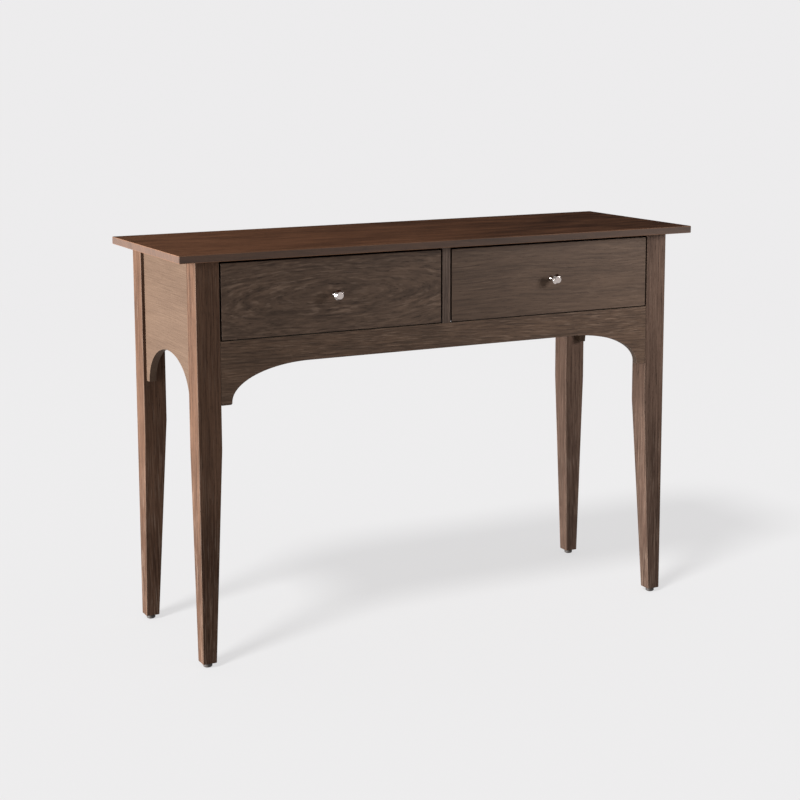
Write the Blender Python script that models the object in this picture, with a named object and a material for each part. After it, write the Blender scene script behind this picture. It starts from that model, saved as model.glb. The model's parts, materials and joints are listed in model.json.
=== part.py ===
"""Console table with two drawers, for Blender 4.5.

Run it with blender --background --python part.py, or from the text editor.
Lengths are in metres, +Z is up, the front faces -Y and left is -X. The origin
is on the floor, under the middle of the top.
"""

import math

import bmesh
import bpy
from mathutils import Matrix, Vector

# Whole table
HEIGHT = 0.762
TOP_WIDTH = 1.086
TOP_DEPTH = 0.370
TOP_THICKNESS = 0.014
SIDE_OVERHANG = 0.0405
FRONT_OVERHANG = 0.030
GAP = 0.0003  # between pieces that touch

# Legs: square posts, tapered on their two inner faces, each on a glide
LEG = 0.045
FOOT = 0.0265
TAPER_TOP = 0.404
GLIDE_HEIGHT = 0.008
GLIDE_RADIUS = 0.0085
GLIDE_STEM_RADIUS = 0.003
GLIDE_STEM_LENGTH = 0.018

# Boards around the drawer space
PANEL = 0.014
PANEL_RECESS = 0.0065
APRON_TOP = 0.601
APRON_UNDERSIDE = 0.554
APRON_TIP_WIDTH = 0.021
APRON_CURVE_LENGTH = 0.153
APRON_CURVE_FOOT = 0.4895
ARCH_TIP = 0.485
SIDE_ARCH_CROWN = 0.563
SIDE_TIP_WIDTH = 0.015
BACK_PANEL_BOTTOM = 0.560
STILE_WIDTH = 0.017
STILE_DEPTH = 0.022
CLEAT_BOTTOM = 0.640
CLEAT_TOP = 0.694

# Drawers
REVEAL = 0.003
BOTTOM_REVEAL = 0.002
FRONT_TOP_GAP = 0.007
FRONT_THICKNESS = 0.018
BOX_WALL = 0.012
BOX_DEPTH = 0.260
BOX_BOTTOM = 0.612
BOX_TOP = 0.722
BOTTOM_SHEET = 0.004
BOTTOM_RAISE = 0.008
GROOVE_DEPTH = 0.006

# Two-member ball-bearing slides
SLIDE_SPACE = 0.0127
SLIDE_LENGTH = 0.250
SLIDE_STEEL = 0.0015
CABINET_MEMBER_HEIGHT = 0.045
CABINET_MEMBER_REACH = 0.0095
DRAWER_MEMBER_HEIGHT = 0.035
DRAWER_MEMBER_START = 0.0034
SLIDE_SETBACK = 0.003

# Knobs and their screws: (radius, distance from the drawer front)
KNOB_BORE_RADIUS = 0.0023
KNOB_BORE_DEPTH = 0.013
KNOB_PROFILE = (
    (0.0070, 0.0003),
    (0.0070, 0.0020),
    (0.0050, 0.0050),
    (0.0045, 0.0120),
    (0.0060, 0.0150),
    (0.0095, 0.0170),
    (0.0102, 0.0190),
    (0.0102, 0.0215),
    (0.0085, 0.0243),
    (0.0075, 0.0250),
)
SCREW_RADIUS = 0.0020
SCREW_HEAD_RADIUS = 0.0042
SCREW_HEAD_HEIGHT = 0.0025
SCREW_REACH = 0.0105
SCREW_HOLE_RADIUS = 0.0025

# Corner blocks, their bolts and nuts, and the brackets that hold the top
BLOCK_REACH = 0.098
BLOCK_BOTTOM = 0.562
BLOCK_HEIGHT = 0.036
BOLT_RADIUS = 0.003
BOLT_HOLE_RADIUS = 0.0034
BOLT_IN_LEG = 0.025
BOLT_BEYOND_BLOCK = 0.010
NUT_ACROSS_CORNERS = 0.0115
NUT_HEIGHT = 0.005
BRACKET_ARM = 0.022
BRACKET_STEEL = 0.0015
BRACKET_WIDTH = 0.025
BACK_BRACKET_X = 0.230

# Edges and roundness
TOP_EASE = 0.0015
LEG_EASE = 0.0010
BOARD_EASE = 0.0006
CURVE_STEPS = 12
SIDES_SMALL = 16
SIDES_KNOB = 32

# Places that follow from the sizes above
UNDER_TOP = HEIGHT - TOP_THICKNESS
LEG_OUTER_X = TOP_WIDTH / 2 - SIDE_OVERHANG
LEG_INNER_X = LEG_OUTER_X - LEG
FRONT_Y = -TOP_DEPTH / 2 + FRONT_OVERHANG
BACK_Y = TOP_DEPTH / 2
SIDE_PANEL_INNER_X = LEG_OUTER_X - PANEL_RECESS - PANEL
BACK_PANEL_FRONT_Y = BACK_Y - PANEL_RECESS - PANEL
SIDE_FRONT_Y = FRONT_Y + LEG + GAP
SIDE_BACK_Y = BACK_Y - LEG - GAP
DRAWER_X = (LEG_INNER_X + STILE_WIDTH / 2) / 2
FRONT_BOTTOM = APRON_TOP + BOTTOM_REVEAL
FRONT_TOP = UNDER_TOP - FRONT_TOP_GAP
FRONT_WIDTH = LEG_INNER_X - STILE_WIDTH / 2 - 2 * REVEAL
FRONT_BACK_Y = FRONT_Y + FRONT_THICKNESS
BOX_HALF = (LEG_INNER_X - STILE_WIDTH / 2) / 2 - SLIDE_SPACE
KNOB_Z = (FRONT_BOTTOM + FRONT_TOP) / 2
SLIDE_Z = (CLEAT_BOTTOM + CLEAT_TOP) / 2
SHEET_BOTTOM = BOX_BOTTOM + BOTTOM_RAISE
SHEET_TOP = SHEET_BOTTOM + BOTTOM_SHEET


def clear_scene():
    """Removes every object and material, so that the script starts from nothing."""
    for obj in list(bpy.data.objects):
        bpy.data.objects.remove(obj, do_unlink=True)
    for old in list(bpy.data.materials):
        bpy.data.materials.remove(old)


def finish(name, colour, roughness, metallic=0.0):
    """A Principled material with one colour."""
    made = bpy.data.materials.new(name)
    made.use_nodes = True
    shader = made.node_tree.nodes["Principled BSDF"]
    shader.inputs["Base Color"].default_value = (*colour, 1.0)
    shader.inputs["Roughness"].default_value = roughness
    shader.inputs["Metallic"].default_value = metallic
    made.diffuse_color = (*colour, 1.0)
    return made


def empty(name, location, parent=None):
    """An empty that carries a group of pieces."""
    holder = bpy.data.objects.new(name, None)
    holder.location = location
    holder.parent = parent
    holder.empty_display_size = 0.05
    bpy.context.collection.objects.link(holder)
    return holder


def piece(name, shape, material, parent, location=(0, 0, 0)):
    """Turns a bmesh into a named object, placed in world space under its parent."""
    bmesh.ops.recalc_face_normals(shape, faces=shape.faces)
    mesh = bpy.data.meshes.new(name)
    shape.to_mesh(mesh)
    shape.free()
    mesh.materials.append(material)
    obj = bpy.data.objects.new(name, mesh)
    bpy.context.collection.objects.link(obj)
    obj.parent = parent
    obj.location = Vector(location) - (parent.location if parent else Vector())
    return obj


def smooth(obj):
    """Shades round faces smooth and leaves the sharp edges sharp."""
    obj.data.shade_smooth()
    obj.data.set_sharp_from_angle(angle=math.radians(35))


def ease(shape, width):
    """Breaks the sharp edges of a shape with a small flat chamfer."""
    sharp = [e for e in shape.edges if e.calc_face_angle(0) > math.radians(30)]
    bmesh.ops.bevel(shape, geom=sharp, offset=width, segments=1, affect="EDGES")


def board(low, high, easing=0.0):
    """A straight board between two corners, with its own centre as its origin."""
    size = Vector(high) - Vector(low)
    shape = bmesh.new()
    bmesh.ops.create_cube(shape, size=1.0, matrix=Matrix.Diagonal((*size, 1.0)))
    if easing:
        ease(shape, easing)
    return shape, (Vector(high) + Vector(low)) / 2


def add_board(name, low, high, material, parent, easing=0.0):
    """A board piece between two corners in world space."""
    shape, centre = board(low, high, easing)
    return piece(name, shape, material, parent, centre)


def extrusion(outline, start, stop, to_world):
    """Extrudes a closed outline of (a, b) points from start to stop along c."""
    shape = bmesh.new()
    corners = [shape.verts.new(to_world(a, b, start)) for a, b in outline]
    shape.faces.new(corners)
    grown = bmesh.ops.extrude_face_region(shape, geom=shape.faces[:])
    moved = [v for v in grown["geom"] if isinstance(v, bmesh.types.BMVert)]
    shift = Vector(to_world(0, 0, stop)) - Vector(to_world(0, 0, start))
    bmesh.ops.translate(shape, verts=moved, vec=shift)
    return shape


def turned(profile, sides):
    """Spins a profile of (radius, height) points about Z. It starts and ends on the axis."""
    shape = bmesh.new()
    points = [shape.verts.new((radius, 0, height)) for radius, height in profile]
    edges = [shape.edges.new(pair) for pair in zip(points, points[1:])]
    bmesh.ops.spin(
        shape,
        geom=points + edges,
        axis=(0, 0, 1),
        cent=(0, 0, 0),
        steps=sides,
        angle=2 * math.pi,
        use_merge=True,
    )
    bmesh.ops.remove_doubles(shape, verts=shape.verts, dist=1e-6)
    return shape


def rod(radius, low, high, sides=SIDES_SMALL):
    """A plain round bar along Z."""
    return turned(((0, low), (radius, low), (radius, high), (0, high)), sides)


def cut(obj, shape, name):
    """Cuts a shape, given in world space, out of a piece."""
    cutter = piece(name, shape, obj.data.materials[0], None)
    cutter.hide_render = True
    cutter.display_type = "WIRE"
    modifier = obj.modifiers.new(name, "BOOLEAN")
    modifier.operation = "DIFFERENCE"
    modifier.solver = "EXACT"
    modifier.object = cutter


def along_y(x, z, y):
    """An outline drawn on the front view, extruded towards the back."""
    return (x, y, z)


def along_x(y, z, x):
    """An outline drawn on the side view, extruded across."""
    return (x, y, z)


def quarter_ellipse(centre, across, up, start, stop):
    """Points of an ellipse between two angles in degrees, ends included."""
    points = []
    for step in range(CURVE_STEPS + 1):
        angle = math.radians(start + (stop - start) * step / CURVE_STEPS)
        along = centre[0] + across * math.cos(angle)
        points.append((along, centre[1] + up * math.sin(angle)))
    return points


def make_top(wood, frame):
    """The thin top, flush with the back legs and overhanging the other sides."""
    low = (-TOP_WIDTH / 2, -TOP_DEPTH / 2, UNDER_TOP)
    high = (TOP_WIDTH / 2, TOP_DEPTH / 2, HEIGHT)
    add_board("tabletop", low, high, wood, frame, TOP_EASE)


def corner_frame(sign_x, is_front):
    """A matrix whose x and y run inwards from a leg's outer corner."""
    inwards_y = 1 if is_front else -1
    corner_y = FRONT_Y if is_front else BACK_Y
    turn = Matrix.Diagonal((-sign_x, inwards_y, 1, 1))
    return Matrix.Translation((sign_x * LEG_OUTER_X, corner_y, 0)) @ turn


def diagonal_frame(height):
    """A matrix whose z runs out of a leg's inner edge, across its corner."""
    turn = Matrix.Rotation(math.radians(45), 4, "Z")
    turn = turn @ Matrix.Rotation(math.radians(90), 4, "Y")
    return Matrix.Translation((LEG, LEG, height)) @ turn


def make_leg(name, corner, wood, frame):
    """A leg with a hole in its foot for the glide and one across for the bolt."""
    shape = bmesh.new()
    rings = []
    for height, width in (
        (GLIDE_HEIGHT + GAP, FOOT),
        (TAPER_TOP, LEG),
        (UNDER_TOP - GAP, LEG),
    ):
        plan = ((0, 0), (width, 0), (width, width), (0, width))
        rings.append([shape.verts.new((x, y, height)) for x, y in plan])
    for lower, upper in zip(rings, rings[1:]):
        for side in range(4):
            after = (side + 1) % 4
            shape.faces.new((lower[side], lower[after], upper[after], upper[side]))
    shape.faces.new(rings[0][::-1])
    shape.faces.new(rings[-1])
    ease(shape, LEG_EASE)
    bmesh.ops.transform(shape, matrix=corner, verts=shape.verts)
    leg = piece(name, shape, wood, frame)

    stem = rod(
        GLIDE_STEM_RADIUS + GAP,
        -GLIDE_HEIGHT,
        GLIDE_HEIGHT + GLIDE_STEM_LENGTH + GAP,
    )
    foot_centre = corner @ Matrix.Translation((FOOT / 2, FOOT / 2, 0))
    bmesh.ops.transform(stem, matrix=foot_centre, verts=stem.verts)
    cut(leg, stem, name + "_glide_hole")

    bolt = rod(BOLT_HOLE_RADIUS, -BOLT_IN_LEG - GAP, BOLT_IN_LEG)
    place = corner @ diagonal_frame(BLOCK_BOTTOM + BLOCK_HEIGHT / 2)
    bmesh.ops.transform(bolt, matrix=place, verts=bolt.verts)
    cut(leg, bolt, name + "_bolt_hole")


def make_glide(name, corner, material, frame):
    """A round glide with a stem that is pressed into the foot."""
    stem_top = GLIDE_HEIGHT + GLIDE_STEM_LENGTH
    profile = (
        (0, 0),
        (GLIDE_RADIUS - 0.0015, 0),
        (GLIDE_RADIUS, 0.0015),
        (GLIDE_RADIUS, GLIDE_HEIGHT),
        (GLIDE_STEM_RADIUS, GLIDE_HEIGHT),
        (GLIDE_STEM_RADIUS, stem_top),
        (0, stem_top),
    )
    place = corner @ Vector((FOOT / 2, FOOT / 2, 0))
    smooth(piece(name, turned(profile, SIDES_SMALL), material, frame, place))


def block_outline(is_front):
    """The plan of a corner block: it hugs the leg's inner edge and both boards."""
    rail_face = (PANEL if is_front else PANEL + PANEL_RECESS) + GAP
    panel_face = PANEL_RECESS + PANEL + GAP
    leg_face = LEG + GAP
    return (
        (leg_face, rail_face),
        (BLOCK_REACH, rail_face),
        (panel_face, BLOCK_REACH),
        (panel_face, leg_face),
        (leg_face, leg_face),
    )


def make_corner_block(name, is_front, corner, materials, frame):
    """A corner block with the bolt and the nut that pull the leg to it."""
    outline = block_outline(is_front)
    block_top = BLOCK_BOTTOM + BLOCK_HEIGHT
    shape = extrusion(outline, BLOCK_BOTTOM, block_top, lambda x, y, z: (x, y, z))
    bmesh.ops.transform(shape, matrix=corner, verts=shape.verts)
    block = piece(f"corner_block_{name}", shape, materials["softwood"], frame)

    # Where the diagonal through the leg's inner edge leaves the block.
    (x1, y1), (x2, y2) = outline[1:3]
    slope = (y2 - y1) / (x2 - x1)
    crossing = (y1 - slope * x1) / (1 - slope)
    face = (crossing - LEG) * math.sqrt(2)

    place = corner @ diagonal_frame(BLOCK_BOTTOM + BLOCK_HEIGHT / 2)
    hole = rod(BOLT_HOLE_RADIUS, -BOLT_IN_LEG, face + BOLT_IN_LEG)
    bmesh.ops.transform(hole, matrix=place, verts=hole.verts)
    cut(block, hole, f"corner_block_{name}_hole")

    bolt = rod(BOLT_RADIUS, -BOLT_IN_LEG, face + BOLT_BEYOND_BLOCK)
    bmesh.ops.transform(bolt, matrix=place, verts=bolt.verts)
    smooth(piece(f"leg_bolt_{name}", bolt, materials["zinc"], frame))

    # The block's inner face isn't quite square to the bolt, so the nut stands off it.
    seat = face + 0.001
    nut = rod(NUT_ACROSS_CORNERS / 2, seat, seat + NUT_HEIGHT, sides=6)
    bmesh.ops.transform(nut, matrix=place, verts=nut.verts)
    nut = piece(f"leg_nut_{name}", nut, materials["zinc"], frame)
    thread = rod(BOLT_HOLE_RADIUS, seat - NUT_HEIGHT, seat + 2 * NUT_HEIGHT)
    bmesh.ops.transform(thread, matrix=place, verts=thread.verts)
    cut(nut, thread, f"leg_nut_{name}_hole")


def make_corners(materials, frame):
    """The four legs with their glides, corner blocks, bolts and nuts."""
    for end, is_front in (("front", True), ("back", False)):
        for side, sign_x in (("left", -1), ("right", 1)):
            corner = corner_frame(sign_x, is_front)
            name = f"{end}_{side}"
            make_leg(f"leg_{name}", corner, materials["wood"], frame)
            make_glide(f"foot_glide_{name}", corner, materials["nylon"], frame)
            make_corner_block(name, is_front, corner, materials, frame)


def make_front_apron(wood, frame):
    """The board under the drawers: straight in the middle, curved down to its tips."""
    end = LEG_INNER_X - GAP
    tip = LEG_INNER_X - APRON_TIP_WIDTH
    rise = APRON_UNDERSIDE - APRON_CURVE_FOOT
    centre = (tip - APRON_CURVE_LENGTH, APRON_CURVE_FOOT)
    curve = quarter_ellipse(centre, APRON_CURVE_LENGTH, rise, 0, 90)
    right = [(end, APRON_TOP), (end, ARCH_TIP), (tip, ARCH_TIP), *curve]
    left = [(-x, z) for x, z in reversed(right)]
    shape = extrusion(right + left, FRONT_Y, FRONT_Y + PANEL, along_y)
    piece("front_apron", shape, wood, frame)


def make_side_panel(name, sign_x, wood, frame):
    """A side board between two legs, with a half-ellipse cut out of its lower edge."""
    centre = (SIDE_FRONT_Y + SIDE_BACK_Y) / 2
    across = (SIDE_BACK_Y - SIDE_FRONT_Y) / 2 - SIDE_TIP_WIDTH
    rise = SIDE_ARCH_CROWN - ARCH_TIP
    back_half = quarter_ellipse((centre, ARCH_TIP), across, rise, 0, 90)
    front_half = quarter_ellipse((centre, ARCH_TIP), across, rise, 90, 180)[1:]
    top = UNDER_TOP - GAP
    outline = [
        (SIDE_FRONT_Y, ARCH_TIP),
        (SIDE_FRONT_Y, top),
        (SIDE_BACK_Y, top),
        (SIDE_BACK_Y, ARCH_TIP),
    ]
    inner = sign_x * SIDE_PANEL_INNER_X
    outer = sign_x * (SIDE_PANEL_INNER_X + PANEL)
    shape = extrusion(outline + back_half + front_half, inner, outer, along_x)
    piece(name, shape, wood, frame)


def make_case(materials, frame):
    """The boards around and between the drawers."""
    wood = materials["wood"]
    softwood = materials["softwood"]
    top = UNDER_TOP - GAP
    make_front_apron(wood, frame)
    make_side_panel("side_panel_left", -1, wood, frame)
    make_side_panel("side_panel_right", 1, wood, frame)

    end = LEG_INNER_X - GAP
    low = (-end, BACK_PANEL_FRONT_Y, BACK_PANEL_BOTTOM)
    high = (end, BACK_PANEL_FRONT_Y + PANEL, top)
    add_board("back_panel", low, high, wood, frame, BOARD_EASE)

    half = STILE_WIDTH / 2
    stile_back = FRONT_Y + STILE_DEPTH
    low = (-half, FRONT_Y, APRON_TOP + GAP)
    add_board("centre_stile", low, (half, stile_back, top), wood, frame, BOARD_EASE)
    low = (-half, stile_back + GAP, APRON_TOP + GAP)
    high = (half, BACK_PANEL_FRONT_Y - GAP, top)
    add_board("centre_divider", low, high, softwood, frame)

    for side, sign_x in (("left", -1), ("right", 1)):
        ends = sorted((sign_x * LEG_INNER_X, sign_x * (SIDE_PANEL_INNER_X - GAP)))
        low = (ends[0], SIDE_FRONT_Y, CLEAT_BOTTOM)
        high = (ends[1], SIDE_BACK_Y, CLEAT_TOP)
        add_board(f"slide_cleat_{side}", low, high, softwood, frame)


def bracket_outline():
    """The section of an angle bracket, from its inner corner under the top."""
    return (
        (0, 0),
        (BRACKET_ARM, 0),
        (BRACKET_ARM, -BRACKET_STEEL),
        (BRACKET_STEEL, -BRACKET_STEEL),
        (BRACKET_STEEL, -BRACKET_ARM),
        (0, -BRACKET_ARM),
    )


def make_top_brackets(zinc, frame):
    """Four angle brackets that hold the top: one on each side panel, two at the back."""
    height = UNDER_TOP - GAP
    middle_y = (SIDE_FRONT_Y + SIDE_BACK_Y) / 2
    half = BRACKET_WIDTH / 2
    for side, sign_x in (("left", -1), ("right", 1)):
        wall = sign_x * (SIDE_PANEL_INNER_X - GAP)

        def on_side(out, up, y, wall=wall, sign_x=sign_x):
            return (wall - sign_x * out, y, height + up)

        def on_back(out, up, x):
            return (x, BACK_PANEL_FRONT_Y - GAP - out, height + up)

        shape = extrusion(bracket_outline(), middle_y - half, middle_y + half, on_side)
        piece(f"top_bracket_side_{side}", shape, zinc, frame)
        centre = sign_x * BACK_BRACKET_X
        shape = extrusion(bracket_outline(), centre - half, centre + half, on_back)
        piece(f"top_bracket_back_{side}", shape, zinc, frame)


def channel_outline(back, reach, half_height):
    """The section of a steel channel: (distance from the wall, height) points."""
    inner = back + math.copysign(SLIDE_STEEL, reach - back)
    hollow = half_height - SLIDE_STEEL
    return (
        (back, -half_height),
        (reach, -half_height),
        (reach, -hollow),
        (inner, -hollow),
        (inner, hollow),
        (reach, hollow),
        (reach, half_height),
        (back, half_height),
    )


def make_slide(name, wall_x, inwards, zinc, frame, drawer):
    """One slide: a channel on the case and a smaller one inside it on the drawer."""
    start = FRONT_BACK_Y + SLIDE_SETBACK
    stop = start + SLIDE_LENGTH

    def from_wall(out, up, y):
        return (wall_x + inwards * out, y, SLIDE_Z + up)

    case_half = CABINET_MEMBER_HEIGHT / 2
    outline = channel_outline(GAP, CABINET_MEMBER_REACH, case_half)
    shape = extrusion(outline, start, stop, from_wall)
    piece(f"slide_case_member_{name}", shape, zinc, frame)

    drawer_half = DRAWER_MEMBER_HEIGHT / 2
    outline = channel_outline(SLIDE_SPACE - GAP, DRAWER_MEMBER_START, drawer_half)
    shape = extrusion(outline, start, stop, from_wall)
    piece(f"slide_drawer_member_{name}", shape, zinc, drawer)


def make_drawer_side(name, centre_x, sign, material, drawer):
    """A drawer side with the groove for the bottom sheet on its inner face."""
    outer = centre_x + sign * BOX_HALF
    inner = centre_x + sign * (BOX_HALF - BOX_WALL)
    groove = inner + sign * GROOVE_DEPTH
    outline = (
        (outer, BOX_BOTTOM),
        (outer, BOX_TOP),
        (inner, BOX_TOP),
        (inner, SHEET_TOP + GAP),
        (groove, SHEET_TOP + GAP),
        (groove, SHEET_BOTTOM - GAP),
        (inner, SHEET_BOTTOM - GAP),
        (inner, BOX_BOTTOM),
    )
    start = FRONT_BACK_Y + GAP
    shape = extrusion(outline, start, start + BOX_DEPTH, along_y)
    piece(name, shape, material, drawer)


def make_knob(name, knob_place, metal, zinc, drawer):
    """A turned knob and the screw that holds it from inside the drawer."""
    bore = [(0, KNOB_BORE_DEPTH), (KNOB_BORE_RADIUS, KNOB_BORE_DEPTH)]
    bore.append((KNOB_BORE_RADIUS, KNOB_PROFILE[0][1]))
    face = (0, KNOB_PROFILE[-1][1])
    shape = turned((*bore, *KNOB_PROFILE, face), SIDES_KNOB)
    to_front = Matrix.Rotation(math.radians(90), 4, "X")
    bmesh.ops.transform(shape, matrix=to_front, verts=shape.verts)
    smooth(piece(f"{name}_knob", shape, metal, drawer, knob_place))

    seat = -FRONT_THICKNESS - GAP
    profile = (
        (0, seat - SCREW_HEAD_HEIGHT),
        (SCREW_HEAD_RADIUS, seat - SCREW_HEAD_HEIGHT),
        (SCREW_HEAD_RADIUS, seat),
        (SCREW_RADIUS, seat),
        (SCREW_RADIUS, SCREW_REACH),
        (0, SCREW_REACH),
    )
    shape = turned(profile, SIDES_SMALL)
    bmesh.ops.transform(shape, matrix=to_front, verts=shape.verts)
    smooth(piece(f"{name}_knob_screw", shape, zinc, drawer, knob_place))


def make_drawer_front(name, centre_x, knob_place, wood, drawer):
    """The inset front, with a groove for the bottom sheet and a hole for the knob."""
    half = FRONT_WIDTH / 2
    low = (centre_x - half, FRONT_Y, FRONT_BOTTOM)
    high = (centre_x + half, FRONT_BACK_Y, FRONT_TOP)
    front = add_board(f"{name}_front", low, high, wood, drawer, BOARD_EASE)

    reach = BOX_HALF - BOX_WALL + GROOVE_DEPTH
    low = (centre_x - reach, FRONT_BACK_Y - GROOVE_DEPTH, SHEET_BOTTOM - GAP)
    high = (centre_x + reach, FRONT_BACK_Y + GROOVE_DEPTH, SHEET_TOP + GAP)
    groove, middle = board(low, high)
    bmesh.ops.translate(groove, verts=groove.verts, vec=middle)
    cut(front, groove, f"{name}_front_groove")

    hole = rod(SCREW_HOLE_RADIUS, -FRONT_THICKNESS, 2 * FRONT_THICKNESS)
    place = Matrix.Translation(knob_place) @ Matrix.Rotation(math.radians(-90), 4, "X")
    bmesh.ops.transform(hole, matrix=place, verts=hole.verts)
    cut(front, hole, f"{name}_front_hole")


def make_drawer(side, sign_x, materials, frame):
    """One drawer: a five-sided box, its knob, and its pair of slides."""
    name = f"drawer_{side}"
    box = materials["softwood"]
    centre_x = sign_x * DRAWER_X
    drawer = empty(f"{name}_travel", (centre_x, FRONT_Y, SLIDE_Z), None)
    knob_place = Vector((centre_x, FRONT_Y, KNOB_Z))
    make_drawer_front(name, centre_x, knob_place, materials["wood"], drawer)
    make_drawer_side(f"{name}_side_left", centre_x, -1, box, drawer)
    make_drawer_side(f"{name}_side_right", centre_x, 1, box, drawer)

    inner = BOX_HALF - BOX_WALL
    box_back = FRONT_BACK_Y + GAP + BOX_DEPTH
    low = (centre_x - inner + GAP, box_back - BOX_WALL, SHEET_TOP + GAP)
    high = (centre_x + inner - GAP, box_back, BOX_TOP)
    add_board(f"{name}_back", low, high, box, drawer)

    half = inner + GROOVE_DEPTH - GAP
    low = (centre_x - half, FRONT_BACK_Y - GROOVE_DEPTH + GAP, SHEET_BOTTOM)
    high = (centre_x + half, box_back, SHEET_TOP)
    add_board(f"{name}_bottom", low, high, box, drawer)

    make_knob(name, knob_place, materials["nickel"], materials["zinc"], drawer)

    leg_wall = sign_x * LEG_INNER_X
    divider_wall = sign_x * STILE_WIDTH / 2
    make_slide(f"{side}_outer", leg_wall, -sign_x, materials["zinc"], frame, drawer)
    make_slide(f"{side}_inner", divider_wall, sign_x, materials["zinc"], frame, drawer)


def main():
    clear_scene()
    materials = {
        "wood": finish("dark_stained_wood", (0.060, 0.036, 0.026), 0.45),
        "softwood": finish("drawer_box_wood", (0.42, 0.29, 0.18), 0.60),
        "nickel": finish("satin_nickel", (0.72, 0.68, 0.64), 0.25, 1.0),
        "zinc": finish("zinc_plated_steel", (0.55, 0.56, 0.58), 0.35, 1.0),
        "nylon": finish("dark_nylon", (0.035, 0.030, 0.028), 0.55),
    }
    frame = empty("table_frame", (0, 0, 0))
    make_top(materials["wood"], frame)
    make_corners(materials, frame)
    make_case(materials, frame)
    make_top_brackets(materials["zinc"], frame)
    for side, sign_x in (("left", -1), ("right", 1)):
        make_drawer(side, sign_x, materials, frame)


main()
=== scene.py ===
"""Finished look of a two-drawer console table in dark stained open-grain wood.

Every board, leg, knob, slide and fixing is worked out as a numpy surface around
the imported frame, dressed in its own finish, and set on the body it moves with.
Lengths are in metres, +Z is up, the front faces -Y and left is -X.
"""

from __future__ import annotations

import json
import logging
import math
from dataclasses import dataclass, field, replace
from enum import Enum
from typing import Union

import bpy
import numpy as np
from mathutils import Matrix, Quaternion, Vector

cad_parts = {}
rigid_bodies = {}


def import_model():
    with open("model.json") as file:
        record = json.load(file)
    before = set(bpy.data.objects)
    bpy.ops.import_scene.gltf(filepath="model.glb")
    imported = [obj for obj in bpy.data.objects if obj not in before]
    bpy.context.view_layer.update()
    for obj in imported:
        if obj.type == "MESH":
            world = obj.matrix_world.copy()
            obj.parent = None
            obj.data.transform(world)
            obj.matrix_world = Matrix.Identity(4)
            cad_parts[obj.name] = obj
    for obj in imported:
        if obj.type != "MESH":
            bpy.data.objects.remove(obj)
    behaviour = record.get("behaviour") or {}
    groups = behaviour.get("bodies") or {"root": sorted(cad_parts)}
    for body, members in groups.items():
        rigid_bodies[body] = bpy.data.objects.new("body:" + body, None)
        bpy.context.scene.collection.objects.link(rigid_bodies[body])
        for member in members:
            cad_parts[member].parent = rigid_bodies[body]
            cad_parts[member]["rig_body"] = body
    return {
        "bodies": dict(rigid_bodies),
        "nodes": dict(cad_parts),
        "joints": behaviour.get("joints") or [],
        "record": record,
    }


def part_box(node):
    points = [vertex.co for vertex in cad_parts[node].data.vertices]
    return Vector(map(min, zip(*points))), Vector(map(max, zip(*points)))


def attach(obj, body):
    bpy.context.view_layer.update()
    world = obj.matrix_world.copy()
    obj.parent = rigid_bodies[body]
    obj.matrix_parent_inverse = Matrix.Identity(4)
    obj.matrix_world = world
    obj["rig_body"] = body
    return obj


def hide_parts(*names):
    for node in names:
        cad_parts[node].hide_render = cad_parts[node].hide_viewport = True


Colour = tuple[float, float, float]
Lamp = bpy.types.Object
Number = Union["Value", float]
Link = Union["Value", bpy.types.NodeSocket, float, tuple]

LOG = logging.getLogger("console_table")
SIDES = (("left", -1), ("right", 1))
GAP = 0.0003  # between pieces that touch
POLE = 0.0004  # the small flat that ends a turned piece
SHARP = 40  # degrees between two faces, past which their edge looks sharp
LEG_WIDTH = 0.045


# ---------------------------------------------------------------- shader bench


class Value:
    """A number that a material works out over the surface, in plain arithmetic."""

    def __init__(self, bench: Bench, socket: bpy.types.NodeSocket) -> None:
        """Wraps one output socket of a node that stands on the bench."""
        self.bench = bench
        self.socket = socket

    def __add__(self, other: Number) -> Value:
        """The sum of two values."""
        return self.bench.math("ADD", self, other)

    __radd__ = __add__

    def __sub__(self, other: Number) -> Value:
        """This value less another."""
        return self.bench.math("SUBTRACT", self, other)

    def __rsub__(self, other: float) -> Value:
        """A plain number less this value."""
        return self.bench.math("SUBTRACT", other, self)

    def __mul__(self, other: Number) -> Value:
        """The product of two values."""
        return self.bench.math("MULTIPLY", self, other)

    __rmul__ = __mul__

    def __truediv__(self, other: Number) -> Value:
        """This value divided by another."""
        return self.bench.math("DIVIDE", self, other)

    def __pow__(self, power: float) -> Value:
        """This value raised to a power."""
        return self.bench.math("POWER", self, power)

    def root(self) -> Value:
        """The square root."""
        return self.bench.math("SQRT", self)

    def part(self) -> Value:
        """What is left after the whole number below."""
        return self.bench.math("FRACT", self)

    def between(self, low: float, high: float) -> Value:
        """Eases from 0 at low to 1 at high, and stays there beyond.

        Args:
            low: The value that becomes 0.
            high: The value that becomes 1. It may be the smaller of the two.

        Returns:
            A value from 0 to 1.
        """
        made = self.bench.node(
            "ShaderNodeMapRange",
            {"interpolation_type": "SMOOTHSTEP", "clamp": True},
            {"Value": self, "From Min": low, "From Max": high},
        )
        return Value(self.bench, made.outputs["Result"])


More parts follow.
